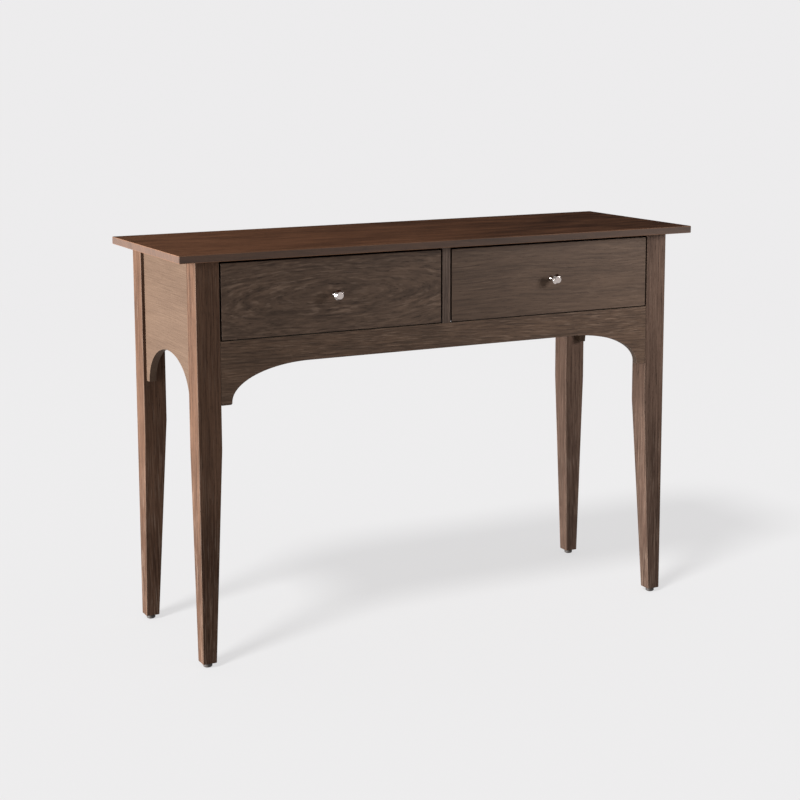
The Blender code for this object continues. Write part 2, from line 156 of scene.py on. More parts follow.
class Bench:
    """A node tree under construction, for a material or for the world."""

    def __init__(self, tree: bpy.types.NodeTree) -> None:
        """Clears the tree, so that every node on it is placed here."""
        tree.nodes.clear()
        self.tree = tree

    def node(self, kind: str, settings: dict, sockets: dict) -> bpy.types.Node:
        """Places one node.

        Args:
            kind: The node's type.
            settings: Its own settings, which are set first.
            sockets: Values or links for its inputs, by name or by number.

        Returns:
            The node.
        """
        made = self.tree.nodes.new(kind)
        for name, value in settings.items():
            setattr(made, name, value)
        for name, value in sockets.items():
            target = made.inputs[name]
            if isinstance(value, Value):
                value = value.socket
            if isinstance(value, bpy.types.NodeSocket):
                self.tree.links.new(value, target)
            elif isinstance(value, tuple) and target.type == "RGBA":
                target.default_value = (*value[:3], 1.0)
            else:
                target.default_value = value
        return made

    def math(self, operation: str, *terms: Number) -> Value:
        """Adds one Math node and returns its result."""
        made = self.node(
            "ShaderNodeMath", {"operation": operation}, dict(enumerate(terms))
        )
        return Value(self, made.outputs[0])

    def place(self) -> tuple[Value, Value, Value]:
        """Reads where a point of the piece lies.

        Returns:
            Its own x, y and z, in metres.
        """
        coords = self.node("ShaderNodeTexCoord", {}, {})
        split = self.node("ShaderNodeSeparateXYZ", {}, {0: coords.outputs["Object"]})
        return tuple(Value(self, out) for out in split.outputs)

    def vector(self, x: Number, y: Number, z: Number) -> bpy.types.NodeSocket:
        """Three values as one vector."""
        return self.node("ShaderNodeCombineXYZ", {}, {0: x, 1: y, 2: z}).outputs[0]

    def noise(
        self, at: bpy.types.NodeSocket, detail: float = 2.0, rough: float = 0.5
    ) -> Value:
        """Soft noise from 0 to 1 whose features are one unit across.

        Args:
            at: The vector that the noise is read at.
            detail: How many finer layers it has.
            rough: How strong the finer layers are.

        Returns:
            The noise.
        """
        made = self.node(
            "ShaderNodeTexNoise",
            {"noise_dimensions": "3D"},
            {"Vector": at, "Scale": 1.0, "Detail": detail, "Roughness": rough},
        )
        return Value(self, made.outputs[0])

    def own(self, attribute: str) -> Value:
        """A number stored on the piece's own points."""
        made = self.node("ShaderNodeAttribute", {"attribute_name": attribute}, {})
        return Value(self, made.outputs["Fac"])

    def mix(self, share: Number, first: Link, second: Link) -> bpy.types.NodeSocket:
        """Two colours mixed: share 0 gives the first and 1 the second."""
        made = self.node(
            "ShaderNodeMix",
            {"data_type": "RGBA", "clamp_factor": True},
            {0: share, 6: first, 7: second},
        )
        return made.outputs[2]

    def bump(self, height: Value, strength: float, depth: float) -> Link:
        """A normal that follows a height.

        Args:
            height: The height, from 0 to 1.
            strength: How much of it shows, from 0 to 1.
            depth: The real height of 1, in metres.

        Returns:
            The normal.
        """
        made = self.node(
            "ShaderNodeBump",
            {},
            {"Height": height, "Strength": strength, "Distance": depth},
        )
        return made.outputs[0]

    def surface(self, sockets: dict) -> None:
        """Ends a material with a Principled shader of these inputs."""
        shader = self.node("ShaderNodeBsdfPrincipled", {}, sockets)
        self.node("ShaderNodeOutputMaterial", {}, {0: shader.outputs[0]})


def bench_for(name: str) -> tuple[bpy.types.Material, Bench]:
    """Starts a material.

    Args:
        name: The material's name.

    Returns:
        The material, and the bench that its nodes are laid out on.
    """
    made = bpy.data.materials.new(name)
    made.use_nodes = True
    return made, Bench(made.node_tree)


# -------------------------------------------------------------------- finishes


class Grain(Enum):
    """Which way a board's grain runs: the axes along, across and through it."""

    TOP = (0, 1, 2)
    FRONT = (0, 2, 1)
    SIDE = (1, 2, 0)
    POST = (2, 0, 1)


@dataclass(frozen=True)
class Timber:
    """A board's wood: growth rings, pores and fibres cut open by its faces.

    The rings are circles about the log's heart, which runs along the grain and may
    lean or bow away from the board. Where a face cuts them they draw straight
    lines, arches or ovals. From the first to the second place in end, measured
    along the grain, the board may grow lighter and show more pale flecks. A pair
    of sizes is the length along the grain and the width of one spot of noise.
    """

    name: str
    grain: Grain
    dark: Colour
    light: Colour
    pale: Colour = (0.19, 0.130, 0.095)
    pore: Colour = (0.013, 0.0075, 0.005)
    heart: tuple[float, float] = (0.30, 0.20)
    middle: float = 0.0
    lean: float = 0.01
    bow: float = 0.0
    ring: float = 0.0042
    wander: float = 0.010
    figure: float = 0.30
    streak: float = 0.75
    patch: float = 0.45
    ripple: float = 0.0035
    thread: tuple[float, float] = (0.045, 0.0034)
    fleck: tuple[float, float] = (0.022, 0.0021)
    pale_share: float = 0.35
    pore_share: float = 0.6
    end: tuple[float, float] = (0.5, -0.5)
    end_tone: float = 0.0
    end_pale: float = 0.0
    rim: Colour = (0.075, 0.048, 0.035)
    rim_share: float = 0.0
    roughness: float = 0.52
    gloss: float = 0.10
    relief: float = 0.35
    shift: float = 0.0
    sway: tuple[float, float] = (0.30, 0.07)
    waver: tuple[float, float] = (0.070, 0.010)
    cloud: tuple[float, float] = (0.16, 0.030)
    bloom: tuple[float, float] = (0.11, 0.028)
    slit: tuple[float, float] = (0.012, 0.0008)

    def material(self) -> bpy.types.Material:
        """Lays out the wood's nodes.

        Returns:
            The material.
        """
        made, bench = bench_for(self.name)
        axes = bench.place()
        along, across, through = (axes[i] for i in self.grain.value)
        along = along + self.shift

        def straight(length: float, width: float) -> bpy.types.NodeSocket:
            """Where to read noise whose spots have this length and width."""
            return bench.vector(along / length, across / width, through / width)

        # The rings: how far a point is from the heart, with slow and quick wander.
        sway = bench.noise(straight(*self.sway), 1.0) - 0.5
        ripple = bench.noise(straight(*self.waver), 2.0) - 0.5
        reach = along - (self.middle + self.shift)
        over = across - self.heart[0] - reach * self.lean + sway * self.wander
        deep = through - self.heart[1] + reach * reach * self.bow
        radius = (over * over + deep * deep).root() + ripple * self.ripple
        season = (radius / self.ring).part()
        early = (1.0 - season) ** 2.2
        around = (over - deep) / 4.0

        def flowing(length: float, width: float) -> bpy.types.NodeSocket:
            """Where to read noise whose spots follow the growth rings."""
            return bench.vector(along / length, radius / width, around / width)

        # The parts of the grain, each a noise of its own size from 0 to 1.
        fibre = bench.noise(flowing(*self.thread), 2.0, 0.6)
        dash = bench.noise(flowing(*self.fleck), 1.0)
        cloud = bench.noise(straight(*self.cloud), 2.0)
        slits = bench.noise(flowing(*self.slit), 1.0)
        pores = slits.between(0.54, 0.66) * (0.25 + 0.75 * early)
        spread = bench.noise(straight(*self.bloom), 1.0).between(0.32, 0.68)
        # Towards one end the tone can shift: on the top it grows lighter to the left, a
        # painted pool of light from the left-hand lamp.
        end = (along - self.shift).between(*self.end)

        # The colour: a stain tone between dark and light, then pale lines and pores, then
        # the narrow sides (a painted shadow on the drawer fronts and the stile) and the
        # rounded edges, painted paler as wear and as a highlight.
        tone = (
            0.5
            + (fibre - 0.5) * (2.6 * self.streak)
            + (cloud - 0.5) * (2.0 * self.patch)
            + (0.36 - early) * (self.figure * (0.35 + spread))
            + (end - 0.5) * self.end_tone
        )
        colour = bench.mix(tone, self.dark, self.light)
        # More pale flecks towards the end: on the legs partly real pale pores, partly a
        # painted sheen near the foot.
        lines = dash.between(0.54, 0.70) * (0.25 + 0.75 * spread + end * self.end_pale)
        colour = bench.mix(lines * self.pale_share, colour, self.pale)
        gaps = dash.between(0.46, 0.30) * 0.6
        colour = bench.mix((pores + gaps) * self.pore_share, colour, self.pore)
        # The narrow sides take the rim colour: on the drawer fronts and the stile it is
        # painted shade in the gaps between the parts.
        colour = bench.mix(bench.own("rim") * self.rim_share, colour, self.rim)
        # Rounded edges are painted paler: partly wear, partly a painted highlight where
        # light catches the rounding.
        edge = bench.own("edge")
        colour = bench.mix(edge * 0.30, colour, self.pale)

        # The surface: fibres stand up, pores lie open and worn edges are smoother.
        height = 0.6 + (fibre - 0.5) * 0.5 - pores * 0.9 + (season - 0.5) * 0.12
        rough = self.roughness + pores * 0.15 + (dash - 0.5) * 0.16 - edge * 0.08
        bench.surface(
            {
                "Base Color": colour,
                "Roughness": rough,
                "Specular IOR Level": self.gloss,
                "Normal": bench.bump(height, self.relief, 0.0004),
            }
        )
        return made


@dataclass(frozen=True)
class SatinMetal:
    """Bare or plated metal with a fine, slightly cloudy polish."""

    name: str
    colour: Colour
    cloud: Colour
    roughness: float
    spots: float
    grit: float = 0.0006
    relief: float = 0.04

    def material(self) -> bpy.types.Material:
        """Lays out the metal's nodes.

        Returns:
            The material.
        """
        made, bench = bench_for(self.name)
        x, y, z = bench.place()
        size, fine = self.spots, self.grit
        mottle = bench.noise(bench.vector(x / size, y / size, z / size), 3.0, 0.6)
        grit = bench.noise(bench.vector(x / fine, y / fine, z / fine), 1.0)
        bench.surface(
            {
                "Base Color": bench.mix(
                    mottle.between(0.35, 0.65), self.colour, self.cloud
                ),
                "Metallic": 1.0,
                "Roughness": self.roughness + (mottle - 0.5) * 0.16 + (grit - 0.5) * 0.1,
                "Normal": bench.bump(grit, self.relief, 0.0001),
            }
        )
        return made


@dataclass(frozen=True)
class MouldedNylon:
    """Dark moulded plastic with a fine matt texture, scuffed a little."""

    name: str
    colour: Colour
    scuff: Colour
    grit: float = 0.0008
    wear: tuple[float, float] = (0.006, 0.002)
    relief: float = 0.25

    def material(self) -> bpy.types.Material:
        """Lays out the plastic's nodes.

        Returns:
            The material.
        """
        made, bench = bench_for(self.name)
        x, y, z = bench.place()
        fine = self.grit
        grit = bench.noise(bench.vector(x / fine, y / fine, z / fine), 2.0)
        wide, tall = self.wear
        wear = bench.noise(bench.vector(x / wide, y / wide, z / tall), 3.0, 0.6)
        bench.surface(
            {
                "Base Color": bench.mix(
                    wear.between(0.50, 0.75), self.colour, self.scuff
                ),
                "Roughness": 0.48 + (grit - 0.5) * 0.2 + wear * 0.1,
                "Normal": bench.bump(grit, self.relief, 0.0001),
            }
        )
        return made


Finish = Union[Timber, SatinMetal, MouldedNylon]


# --------------------------------------------------------------------- shapes


@dataclass
class Shape:
    """A closed mesh in arrays.

    quads are rows of four point numbers and caps are whole polygons. edge says how
    much each point lies on a rounded edge, which the wood paints paler, partly as
    wear and partly as a painted highlight, and rim how far it has turned from a face
    to the board's narrow side, both from 0 to 1.
    """

    points: np.ndarray
    quads: np.ndarray
    caps: list[np.ndarray]
    edge: np.ndarray
    rim: np.ndarray

    def turned_out(self, mirrored: bool) -> Shape:
        """Turns the faces round if the shape's axes were mirrored.

        Args:
            mirrored: Whether they were.

        Returns:
            The shape, whose faces point outwards.
        """
        if not mirrored:
            return self
        caps = [cap[::-1] for cap in self.caps]
        return Shape(self.points, self.quads[:, ::-1], caps, self.edge, self.rim)

    def joined(self, *others: Shape) -> Shape:
        """This shape and the others as one mesh.

        Args:
            others: The shapes to add.

        Returns:
            One shape that holds them all.
        """
        parts = (self, *others)
        counts = [len(part.points) for part in parts]
        starts = np.cumsum([0, *counts[:-1]])
        return Shape(
            np.concatenate([part.points for part in parts]),
            np.concatenate([p.quads + at for p, at in zip(parts, starts)]),
            [cap + at for p, at in zip(parts, starts) for cap in p.caps],
            np.concatenate([part.edge for part in parts]),
            np.concatenate([part.rim for part in parts]),
        )


def carried(rings: np.ndarray, edge: np.ndarray, rim: np.ndarray) -> Shape:
    """A closed tube through a row of rings, with a flat cap on each end.

    Point (i, j) of ring i joins point j + 1 of its own ring and point j of the
    next one. A ring runs anticlockwise about the way that the rings go.

    Args:
        rings: Points of shape (rings, points in a ring, 3).
        edge: How worn each point is, of shape (rings, points in a ring).
        rim: How far each point is on the narrow side, of the same shape.

    Returns:
        The closed shape.
    """
    count, size = rings.shape[:2]
    index = np.arange(count * size).reshape(count, size)
    after = np.roll(index, -1, axis=1)
    quads = np.stack([index[:-1], after[:-1], after[1:], index[1:]], axis=-1)
    caps = [index[0][::-1], index[-1]]
    points = rings.reshape(-1, 3)
    return Shape(points, quads.reshape(-1, 4), caps, edge.reshape(-1), rim.reshape(-1))


def softened(corners: list, radii: Union[float, list], steps: int = 4) -> np.ndarray:
    """A closed outline whose corners are rounded to given radii.

    Each corner becomes the circular arc that touches both its sides, written as
    the rational curve (A(1-s)^2 + 2cPs(1-s) + Bs^2) over (1-s)^2 + 2cs(1-s) + s^2,
    with P the corner, A and B the touching points and c the cosine of half the
    turn. A corner of radius 0 stays a point, so an open line keeps its ends.

    Args:
        corners: Corner points (a, b) in order.
        radii: One radius for all, or one for each corner.
        steps: Pieces that each arc is cut into.

    Returns:
        The outline's points, of shape (points, 2).
    """
    points = np.asarray(corners, float)
    radius = np.broadcast_to(np.asarray(radii, float), len(points))
    before = points - np.roll(points, 1, axis=0)
    after = np.roll(points, -1, axis=0) - points
    before /= np.linalg.norm(before, axis=1, keepdims=True)
    after /= np.linalg.norm(after, axis=1, keepdims=True)
    turn = np.arccos(np.clip((before * after).sum(1), -1, 1))
    reach = (radius * np.tan(turn / 2))[:, None, None]
    weight = np.cos(turn / 2)[:, None, None]
    s = np.linspace(0, 1, steps + 1)[None, :, None]
    start = points[:, None] - before[:, None] * reach
    stop = points[:, None] + after[:, None] * reach
    top = start * (1 - s) ** 2 + points[:, None] * 2 * weight * s * (1 - s) + stop * s**2
    arcs = top / ((1 - s) ** 2 + 2 * weight * s * (1 - s) + s**2)
    kept = np.ones((len(points), steps + 1), bool)
    kept[(radius * turn) < 1e-7, 1:] = False
    return arcs[kept]


def outset(outline: np.ndarray, distance: np.ndarray) -> np.ndarray:
    """Rings of an outline that has moved outwards by each distance.

    A point moves along (m + n) / (1 + m.n), where m and n are the outward normals
    of the two sides that meet there, so every side stays parallel to itself.

    Args:
        outline: Points (a, b), anticlockwise.
        distance: How far each ring has moved. Inwards is negative.

    Returns:
        Points of shape (rings, points, 2).
    """
    side = np.roll(outline, -1, axis=0) - outline
    side /= np.linalg.norm(side, axis=1, keepdims=True)
    normal = np.stack([side[:, 1], -side[:, 0]], axis=1)
    other = np.roll(normal, 1, axis=0)
    way = (normal + other) / (1 + (normal * other).sum(1, keepdims=True))
    return outline[None] + distance[:, None, None] * way[None]


class View(Enum):
    """The view that an outline is drawn on: its two axes, then its depth."""

    FRONT = (0, 2, 1)
    SIDE = (1, 2, 0)
    PLAN = (0, 1, 2)


def slab(
    view: View, outline: np.ndarray, start: float, stop: float, ease: float
) -> Shape:
    """A board of any outline, with its two faces' edges rounded over.

    The outline is carried from start to stop. Near each face it draws in by
    r(1 - sin t) at the depth r(1 - cos t), a quarter circle of radius r.

    Args:
        view: The view that the outline is drawn on.
        outline: Points (a, b), anticlockwise.
        start: The lower depth.
        stop: The higher depth.
        ease: The radius r of the rounded edges.

    Returns:
        The board.
    """
    angle = np.linspace(0, math.pi / 2, 4)
    inset = ease * (1 - np.sin(angle))
    depth = ease * (1 - np.cos(angle))
    # How much each ring lies on the rounded edge, which the wood paints paler as wear and
    # as a painted highlight.
    wear = np.sin(2 * angle)
    back = slice(None, None, -1)
    drawn = outset(outline, -np.concatenate([inset, inset[back]]))
    depths = np.concatenate([start + depth, (stop - depth)[back]])
    wear_and_highlight = np.concatenate([wear, wear[back]])
    rings = np.empty((*drawn.shape[:2], 3))
    first, second, third = view.value
    rings[..., first] = drawn[..., 0]
    rings[..., second] = drawn[..., 1]
    rings[..., third] = depths[:, None]
    edge = np.broadcast_to(wear_and_highlight[:, None], drawn.shape[:2])
    side = np.sin(np.concatenate([angle, angle[back]]))
    rim = np.broadcast_to(side[:, None], drawn.shape[:2])
    return carried(rings, edge, rim).turned_out(view is View.FRONT)


def rectangle(low: tuple, high: tuple, radius: float) -> np.ndarray:
    """An upright rectangle between two corners, with its own corners rounded."""
    (a, b), (c, d) = low, high
    return softened([(a, b), (c, b), (c, d), (a, d)], radius, steps=3)


def spun(profile: np.ndarray, foot: tuple, way: tuple, sides: int = 48) -> Shape:
    """A turned piece: a profile of (radius, height) carried round an axis.

    Point (i, j) is foot + h w + r (u cos t + v sin t), with u, v and the axis w
    square to one another and t going once round.

    Args:
        profile: Rows of radius r and height h. Heights run up the axis at the ends.
        foot: The axis's point of height 0.
        way: The axis's direction.
        sides: How many flats the turning has.

    Returns:
        The turned piece, with its ends capped.
    """
    w = np.asarray(way, float)
    w /= np.linalg.norm(w)
    u = np.cross(w, (0.31, 0.17, 0.93))
    u /= np.linalg.norm(u)
    v = np.cross(w, u)
    t = np.linspace(0, 2 * math.pi, sides, endpoint=False)[None, :, None]
    radius, height = profile[:, 0, None, None], profile[:, 1, None, None]
    rings = np.asarray(foot) + height * w + radius * (u * np.cos(t) + v * np.sin(t))
    plain = np.zeros(rings.shape[:2])
    return carried(rings, plain, plain)


# ------------------------------------------------------------------- workshop


@dataclass
class Workshop:
    """Where pieces are put together: it knows the frame and the finishes."""

    frame: dict
    finishes: dict[str, bpy.types.Material] = field(default_factory=dict)

    def body_of(self, node: str) -> str:
        """The name of the body that a frame node belongs to."""
        return self.frame["nodes"][node]["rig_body"]

    def finish(self, wanted: Finish) -> bpy.types.Material:
        """The material of a finish, laid out the first time it is asked for."""
        if wanted.name not in self.finishes:
            self.finishes[wanted.name] = wanted.material()
        return self.finishes[wanted.name]

    def add(
        self,
        name: str,
        shape: Shape,
        finish: Finish,
        slot: str,
        body: str,
        *stands_for: str,
    ) -> None:
        """Turns a shape into a piece of the table.

        Args:
            name: The piece's name.
            shape: Its surface.
            finish: What it is finished in.
            slot: The record's material slot that it belongs to; not used.
            body: The body that it moves with.
            stands_for: The frame nodes that it is shown in place of.
        """
        mesh = bpy.data.meshes.new(name)
        faces = shape.quads.tolist() + [cap.tolist() for cap in shape.caps]
        mesh.from_pydata(shape.points.tolist(), [], faces)
        for label, values in (("edge", shape.edge), ("rim", shape.rim)):
            stored = mesh.attributes.new(label, "FLOAT", "POINT")
            stored.data.foreach_set("value", values.astype(np.float32))
        mesh.materials.append(self.finish(finish))
        mesh.shade_smooth()
        mesh.set_sharp_from_angle(angle=math.radians(SHARP))
        piece = bpy.data.objects.new(name, mesh)
        bpy.context.scene.collection.objects.link(piece)
        even = piece.modifiers.new("even_shading", "WEIGHTED_NORMAL")
        even.keep_sharp = True
        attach(piece, body)
        if stands_for:
            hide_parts(*stands_for)
        LOG.info("%s: %d points, on %s", name, len(shape.points), body)

    def dress(
        self, node: str, ending: str, shape: Shape, finish: Finish, slot: str
    ) -> None:
        """Adds a piece that is shown in place of one frame node, on its body."""
        self.add(f"{node}.{ending}", shape, finish, slot, self.body_of(node), node)

    def board(
        self,
        node: str,
        view: View,
        radius: float,
        ease: float,
        wood: Timber,
        slot: str,
        ending: str = "board",
    ) -> None:
        """Makes a plain board that fills its node's box.

        Args:
            node: The frame node that it is shown in place of.
            view: The view that its outline is drawn on.
            radius: How round the outline's corners are.
            ease: How round the edges of its two faces are.
            wood: What it is made of.
            slot: The record's material slot that it belongs to; not used.
            ending: What its name ends in.
        """
        low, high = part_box(node)
        a, b, depth = view.value
        outline = rectangle((low[a], low[b]), (high[a], high[b]), radius)
        shape = slab(view, outline, low[depth], high[depth], ease)
        self.dress(node, ending, shape, wood, slot)


STAINED = "dark_stained_wood"
HARDWOOD = "pale_hardwood"
NICKEL_SLOT = "satin_nickel"
ZINC_SLOT = "zinc_steel"
NYLON_SLOT = "dark_nylon"

NICKEL = SatinMetal("satin nickel", (0.60, 0.53, 0.50), (0.50, 0.44, 0.41), 0.13, 0.003)
ZINC = SatinMetal("zinc plated steel", (0.60, 0.61, 0.60), (0.42, 0.44, 0.45), 0.36, 0.005)
NYLON = MouldedNylon("dark nylon", (0.020, 0.015, 0.012), (0.070, 0.055, 0.045))

BROWN_DARK = (0.026, 0.0160, 0.0112)
BROWN_LIGHT = (0.100, 0.0630, 0.0430)
SHADOW_LINE = (0.010, 0.0060, 0.0050)

TOP_WOOD = Timber(
    "stained top",
    Grain.TOP,
    dark=(0.024, 0.0120, 0.0083),
    light=(0.138, 0.0615, 0.0335),
    pale=(0.24, 0.120, 0.065),
    heart=(0.34, 0.50),
    lean=0.02,
    ring=0.0065,
    thread=(0.100, 0.0026),
    fleck=(0.040, 0.0020),
    streak=0.50,
    patch=0.55,
    figure=0.20,
    pale_share=0.25,
    pore_share=0.45,
    # Towards the left end the top is painted lighter: a painted pool of light from the
    # left-hand lamp.
    end=(0.45, -0.50),
    end_tone=0.50,
    rim=(0.059, 0.0455, 0.0390),
    rim_share=0.75,
    roughness=0.62,
    gloss=0.004,
)
LEG_WOOD = Timber(
    "stained legs",
    Grain.POST,
    dark=(0.028, 0.0135, 0.0080),
    light=(0.084, 0.0455, 0.0285),
    pale=(0.13, 0.092, 0.070),
    heart=(1.4, -1.1),
    lean=0.0,
    ring=0.0060,
    wander=0.003,
    ripple=0.0008,
    thread=(0.130, 0.0030),
    fleck=(0.050, 0.0013),
    streak=0.60,
    figure=0.20,
    pale_share=0.32,
    # Towards the foot the legs turn darker with more pale flecks: partly real pale pores,
    # partly a painted sheen on the lower faces.
    end=(0.45, 0.15),
    end_tone=-0.20,
    end_pale=1.3,
    gloss=0.05,
)
# A lighter, greyer copy of the leg wood for the right legs: painted light, standing in for
# the stronger light on the table's right side.
LIT_RIGHT_LEG_WOOD = replace(
    LEG_WOOD,
    name="stained right legs",
    dark=(0.030, 0.0172, 0.0120),
    light=(0.090, 0.0550, 0.0400),
    shift=0.41,
)
FRONT_LEFT_WOOD = Timber(
    "stained left drawer front",
    Grain.FRONT,
    dark=BROWN_DARK,
    light=BROWN_LIGHT,
    heart=(0.672, -0.115),
    middle=-0.233,
    lean=0.02,
    bow=-0.30,
    ring=0.0062,
    wander=0.014,
    ripple=0.004,
    fleck=(0.026, 0.0024),
    streak=0.40,
    figure=0.18,
    pale_share=0.30,
    rim=SHADOW_LINE,
    rim_share=1.0,
)
FRONT_RIGHT_WOOD = Timber(
    "stained right drawer front",
    Grain.FRONT,
    dark=(0.036, 0.0225, 0.0158),
    light=(0.090, 0.0565, 0.0385),
    heart=(0.30, -0.30),
    middle=0.233,
    lean=0.0,
    ring=0.0080,
    wander=0.020,
    thread=(0.080, 0.0050),
    fleck=(0.034, 0.0024),
    figure=0.12,
    streak=0.30,
    pale_share=0.15,
    pore_share=0.35,
    rim=SHADOW_LINE,
    rim_share=1.0,
)
APRON_WOOD = Timber(
    "stained apron",
    Grain.FRONT,
    dark=(0.030, 0.0180, 0.0120),
    light=(0.097, 0.0580, 0.0375),
    heart=(0.83, -0.24),
    lean=-0.03,
    ring=0.0060,
    thread=(0.060, 0.0034),
    fleck=(0.030, 0.0020),
    streak=0.50,
    figure=0.18,
    shift=0.37,
    rim=(0.030, 0.0200, 0.0140),
    rim_share=0.8,
)
PANEL_WOOD = Timber(
    "stained panels",
    Grain.SIDE,
    dark=(0.046, 0.0285, 0.0195),
    light=(0.086, 0.0560, 0.0385),
    heart=(-0.90, -0.35),
    lean=0.0,
    thread=(0.140, 0.0034),
    fleck=(0.060, 0.0016),
    streak=0.20,
    patch=0.30,
    pale_share=0.07,
    pore_share=0.22,
    figure=0.10,
    shift=0.11,
    gloss=0.04,
)
BACK_WOOD = Timber(
    "stained back",
    Grain.FRONT,
    dark=BROWN_DARK,
    light=BROWN_LIGHT,
    heart=(1.30, 0.05),
    lean=0.02,
    thread=(0.080, 0.0036),
    fleck=(0.040, 0.0020),
    streak=0.45,
    pale_share=0.20,
    shift=0.73,
)
STILE_WOOD = Timber(
    "stained stile",
    Grain.POST,
    dark=(0.038, 0.0250, 0.0190),
    light=(0.088, 0.0600, 0.0460),
    heart=(0.6, 0.5),
    wander=0.003,
    ripple=0.0008,
    thread=(0.110, 0.0030),
    fleck=(0.050, 0.0015),
    streak=0.40,
    rim=SHADOW_LINE,
    rim_share=1.0,
)
BOX_WOOD = Timber(
    "birch drawer box",
    Grain.SIDE,
    dark=(0.46, 0.315, 0.190),
    light=(0.66, 0.495, 0.335),
    pale=(0.74, 0.60, 0.44),
    pore=(0.34, 0.215, 0.120),
    heart=(0.2, 0.6),
    ring=0.006,
    figure=0.25,
    pore_share=0.25,
    roughness=0.45,
    gloss=0.4,
    relief=0.15,
)
BOX_BACK_WOOD = replace(
    BOX_WOOD, name="birch drawer back", grain=Grain.FRONT, heart=(0.5, 0.6)
)
SHEET_WOOD = Timber(
    "birch bottom sheet",
    Grain.TOP,
    dark=(0.52, 0.370, 0.235),
    light=(0.70, 0.545, 0.385),
    pale=(0.78, 0.65, 0.49),
    pore=(0.40, 0.265, 0.160),
    heart=(0.05, 0.55),
    ring=0.008,
    wander=0.03,
    figure=0.35,
    pore_share=0.2,
    roughness=0.42,
    gloss=0.4,
    relief=0.10,
)
BLOCK_WOOD = Timber(
    "poplar blocks",
    Grain.TOP,
    dark=(0.40, 0.290, 0.165),
    light=(0.60, 0.460, 0.290),
    pale=(0.68, 0.55, 0.38),
    pore=(0.30, 0.205, 0.115),
    heart=(0.4, 0.8),
    ring=0.005,
    pore_share=0.3,
    roughness=0.62,
    gloss=0.3,
)


# ----------------------------------------------------------------- sub-assemblies


def table_corners() -> list[tuple[str, tuple, tuple]]:
    """The four corners of the table, front ones first.

    Returns:
        Each corner's name, its leg's outer corner (x, y), and which way x and y
        run inwards from there.
    """
    found = []
    for end, inwards in (("front", 1), ("back", -1)):
        for side, sign in SIDES:
            low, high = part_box(f"leg_{end}_{side}")
            corner = (low.x if sign < 0 else high.x, low.y if inwards > 0 else high.y)
            found.append((f"{end}_{side}", corner, (-sign, inwards)))
    return found


@dataclass
class Tabletop:
    """The thin top board: a plan rectangle with soft corners and eased edges."""

    corner: float = 0.0025
    ease: float = 0.0014

    def build(self, shop: Workshop) -> None:
        """Makes the top."""
        shop.board("tabletop", View.PLAN, self.corner, self.ease, TOP_WOOD, STAINED)


@dataclass
class Legs:
    """Four square legs, tapered on their two inner faces, on nylon glides."""

    width: float = LEG_WIDTH
    foot: float = 0.0265
    taper_top: float = 0.404
    taper_blend: float = 0.004
    ease: float = 0.0012
    ease_steps: int = 5
    glide_radius: float = 0.0085
    glide_rim: float = 0.0075
    glide_neck: float = 0.0063
    glide_height: float = 0.008

    def post(self, corner: tuple, signs: tuple, bottom: float, top: float) -> Shape:
        """One leg.

        Its plan at any height is a square of side w with rounded corners, drawn
        from the outer corner inwards. w is constant above the taper and falls in a
        straight line to the foot below it. The foot's rim draws in a little.

        Args:
            corner: The outer corner (x, y).
            signs: Which way (x, y) run inwards.
            bottom: Height of the foot.
            top: Height of the upper end.

        Returns:
            The leg.
        """
        ease, bend = self.ease, self.taper_top
        rim = [bottom, bottom + ease * 0.3, bottom + ease]
        heights = np.array([*rim, bend - self.taper_blend, bend, top])
        inset = np.array([ease, ease * 0.3, 0, 0, 0, 0])
        fall = np.clip((bend - heights) / (bend - bottom), 0, 1)
        width = self.width - (self.width - self.foot) * fall
        turn = np.linspace(0, math.pi / 2, self.ease_steps)
        start = np.radians([180, 270, 0, 90])[:, None]
        angle = (start + turn).reshape(1, -1)
        right = np.repeat([0, 1, 1, 0], len(turn))[None]
        upper = np.repeat([0, 0, 1, 1], len(turn))[None]
        near = (inset + ease)[:, None]
        far = (width - inset - ease)[:, None]
        x = np.where(right, far, near) + ease * np.cos(angle)
        y = np.where(upper, far, near) + ease * np.sin(angle)
        rings = np.empty((*x.shape, 3))
        rings[..., 0] = corner[0] + signs[0] * x
        rings[..., 1] = corner[1] + signs[1] * y
        rings[..., 2] = heights[:, None]
        # How much each point lies on a rounded corner, which the wood paints paler as wear
        # and as a painted highlight.
        edge = np.broadcast_to(np.tile(np.sin(2 * turn), 4), x.shape)
        return carried(rings, edge, 0 * x).turned_out(signs[0] * signs[1] < 0)

    def glide(self, centre: tuple, bottom: float) -> Shape:
        """A round glide with a domed rim, up to the foot.

        Args:
            centre: The (x, y) of its middle.
            bottom: Height of its underside.

        Returns:
            The glide, its softened profile spun round.
        """
        r, h = self.glide_radius, self.glide_height
        corners = [
            (POLE, 0.0),
            (self.glide_rim, 0.0),
            (r, 0.0022),
            (r, h - 0.0015),
            (self.glide_neck, h),
            (POLE, h),
        ]
        profile = softened(corners, [0, 0.002, 0.0012, 0.0008, 0.0006, 0])
        return spun(profile, (*centre, bottom), (0, 0, 1), sides=32)

    def build(self, shop: Workshop) -> None:
        """Makes the legs and their glides at the four corners.

        Args:
            shop: The workshop.
        """
        for name, corner, signs in table_corners():
            node = f"leg_{name}"
            low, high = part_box(node)
            shape = self.post(corner, signs, low.z, high.z)
            # The right legs wear the copy with painted light.
            wood = LEG_WOOD if name.endswith("left") else LIT_RIGHT_LEG_WOOD
            shop.dress(node, "post", shape, wood, STAINED)
            centre = tuple(c + s * self.foot / 2 for c, s in zip(corner, signs))
            node = f"foot_glide_{name}"
            shape = self.glide(centre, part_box(node)[0].z)
            shop.dress(node, "nylon", shape, NYLON, NYLON_SLOT)


